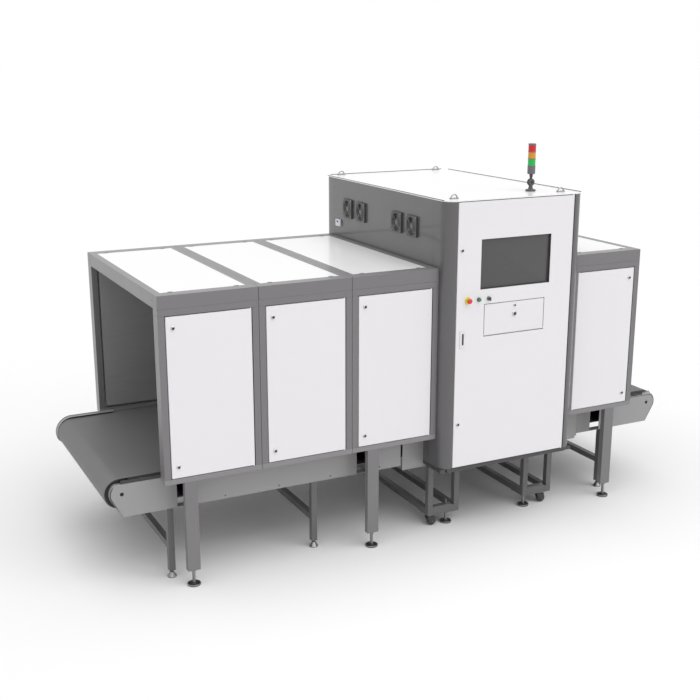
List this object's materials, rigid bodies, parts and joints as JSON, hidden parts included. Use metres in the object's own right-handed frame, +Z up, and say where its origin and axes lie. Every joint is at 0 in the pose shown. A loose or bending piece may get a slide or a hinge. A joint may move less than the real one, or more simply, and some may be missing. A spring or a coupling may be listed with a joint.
{
  "type": "baggage x-ray scanner",
  "caption": "Walk-up baggage x-ray scanner: a tall white operator's cabinet astride a belt conveyor, with a long tunnel on one side and a short one on the other.",
  "frame": {"origin": "on the floor, in the middle of the machine's plan", "axes": "+X along the belt from the long tunnel to the short one, +Y away from the operator, +Z up"},
  "size_m": [4.204, 1.796, 2.555],
  "materials": {
    "frame_paint": "satin mid grey paint",
    "panel_paint": "satin white paint",
    "roof_paint": "gloss white paint",
    "wall_paint": "gloss mid grey paint",
    "lining": "matte dark grey shielding sheet",
    "conveyor_paint": "satin light grey paint",
    "stand_paint": "satin dark grey paint",
    "belt": "matte dark grey belt",
    "steel": "bare steel",
    "chrome": "polished chrome",
    "dark_plastic": "dark grey plastic",
    "screen": "dark screen glass over a case",
    "white_plastic": "white plastic",
    "handle_plastic": "light grey plastic",
    "yellow_plastic": "yellow plastic",
    "red_plastic": "red plastic",
    "green_plastic": "green plastic",
    "red_lens": "red lamp lens",
    "amber_lens": "amber lamp lens",
    "green_lens": "green lamp lens",
    "wheel_rubber": "dark tread"
  },
  "bodies": {
    "frame": {"tunnel_posts": "frame_paint", "tunnel_sills": "frame_paint", "tunnel_headers": "frame_paint", "tunnel_cross_beams": "frame_paint", "tunnel_roof_panels": "roof_paint", "tunnel_side_linings": "lining", "tunnel_ceilings": "lining", "back_access_panels": "panel_paint", "tunnel_legs": "frame_paint", "levelling_feet": "chrome", "conveyor_side_plates": "conveyor_paint", "belt": "belt", "end_drums": "steel", "slider_bed": "steel", "conveyor_legs": "stand_paint", "conveyor_crossbars": "stand_paint", "stand_posts": "stand_paint", "stand_side_rails": "stand_paint", "stand_cross_bars": "stand_paint", "base_frame": "stand_paint", "back_casters": "dark_plastic", "corner_columns": "wall_paint", "cabinet_side_walls": "wall_paint", "cabinet_back_panel": "panel_paint", "cabinet_roof": "roof_paint", "lifting_eyes": "steel", "side_fans": "dark_plastic", "side_sensor": "white_plastic", "tower_base": "dark_plastic"},
    "cabinet_door": {"cabinet_door": "panel_paint", "monitor_screen": "screen", "keyboard_tray": "frame_paint", "door_locks": "chrome", "door_handle": "handle_plastic", "estop_collar": "yellow_plastic", "button_collars": "chrome"},
    "keyboard_flap": {"keyboard_flap": "panel_paint", "flap_locks": "chrome"},
    "estop_button": {"estop_button": "red_plastic"},
    "start_button": {"start_button": "green_plastic"},
    "key_switch": {"key_switch": "steel"},
    "side_panel_1": {"side_panel_1": "panel_paint", "side_panel_locks_1": "chrome"},
    "side_panel_2": {"side_panel_2": "panel_paint", "side_panel_locks_2": "chrome"},
    "side_panel_3": {"side_panel_3": "panel_paint", "side_panel_locks_3": "chrome"},
    "side_panel_4": {"side_panel_4": "panel_paint", "side_panel_locks_4": "chrome"},
    "tower_stem": {"tower_stem": "dark_plastic", "tower_green_lamp": "green_lens", "tower_amber_lamp": "amber_lens", "tower_red_lamp": "red_lens", "tower_cap": "dark_plastic"},
    "left_caster_fork": {"left_caster_fork": "stand_paint"},
    "left_caster_wheel": {"left_caster_wheel": "wheel_rubber"},
    "right_caster_fork": {"right_caster_fork": "stand_paint"},
    "right_caster_wheel": {"right_caster_wheel": "wheel_rubber"}
  },
  "joints": [
    {"name": "cabinet_door_hinge", "type": "hinge", "parent": "frame", "child": "cabinet_door", "pos_m": [1.035, -0.859, 1.358], "axis": [0, 0, 1], "range_deg": [0, 100]},
    {"name": "keyboard_flap_hinge", "type": "hinge", "parent": "cabinet_door", "child": "keyboard_flap", "pos_m": [0.596, -0.86, 1.364], "axis": [-1, 0, 0], "range_deg": [-90, 0]},
    {"name": "estop_press", "type": "slide", "parent": "cabinet_door", "child": "estop_button", "axis": [0, 1, 0], "range_m": [0, 0.004]},
    {"name": "start_press", "type": "slide", "parent": "cabinet_door", "child": "start_button", "axis": [0, 1, 0], "range_m": [0, 0.003], "stiffness_N_per_m": 400},
    {"name": "key_turn", "type": "hinge", "parent": "cabinet_door", "child": "key_switch", "pos_m": [0.392, -0.865, 1.604], "axis": [0, 1, 0], "range_deg": [0, 90]},
    {"name": "side_panel_1_hinge", "type": "hinge", "parent": "frame", "child": "side_panel_1", "pos_m": [-1.211, -0.778, 1.199], "axis": [0, 0, 1], "range_deg": [0, 90]},
    {"name": "side_panel_2_hinge", "type": "hinge", "parent": "frame", "child": "side_panel_2", "pos_m": [-0.598, -0.778, 1.199], "axis": [0, 0, 1], "range_deg": [0, 90]},
    {"name": "side_panel_3_hinge", "type": "hinge", "parent": "frame", "child": "side_panel_3", "pos_m": [0.016, -0.778, 1.199], "axis": [0, 0, 1], "range_deg": [0, 90]},
    {"name": "side_panel_4_hinge", "type": "hinge", "parent": "frame", "child": "side_panel_4", "pos_m": [1.176, -0.778, 1.199], "axis": [0, 0, -1], "range_deg": [0, 90]},
    {"name": "tower_fold", "type": "hinge", "parent": "frame", "child": "tower_stem", "pos_m": [0.848, -0.638, 2.302], "axis": [0, -1, 0], "range_deg": [0, 90]},
    {"name": "left_caster_swivel", "type": "hinge", "parent": "frame", "child": "left_caster_fork", "pos_m": [0.114, -0.648, 0.075], "axis": [0, 0, 1], "continuous": true},
    {"name": "left_caster_roll", "type": "hinge", "parent": "left_caster_fork", "child": "left_caster_wheel", "pos_m": [0.126, -0.648, 0.032], "axis": [0, 1, 0], "continuous": true},
    {"name": "right_caster_swivel", "type": "hinge", "parent": "frame", "child": "right_caster_fork", "pos_m": [1.028, -0.648, 0.075], "axis": [0, 0, 1], "continuous": true},
    {"name": "right_caster_roll", "type": "hinge", "parent": "right_caster_fork", "child": "right_caster_wheel", "pos_m": [1.04, -0.648, 0.032], "axis": [0, 1, 0], "continuous": true}
  ]
}
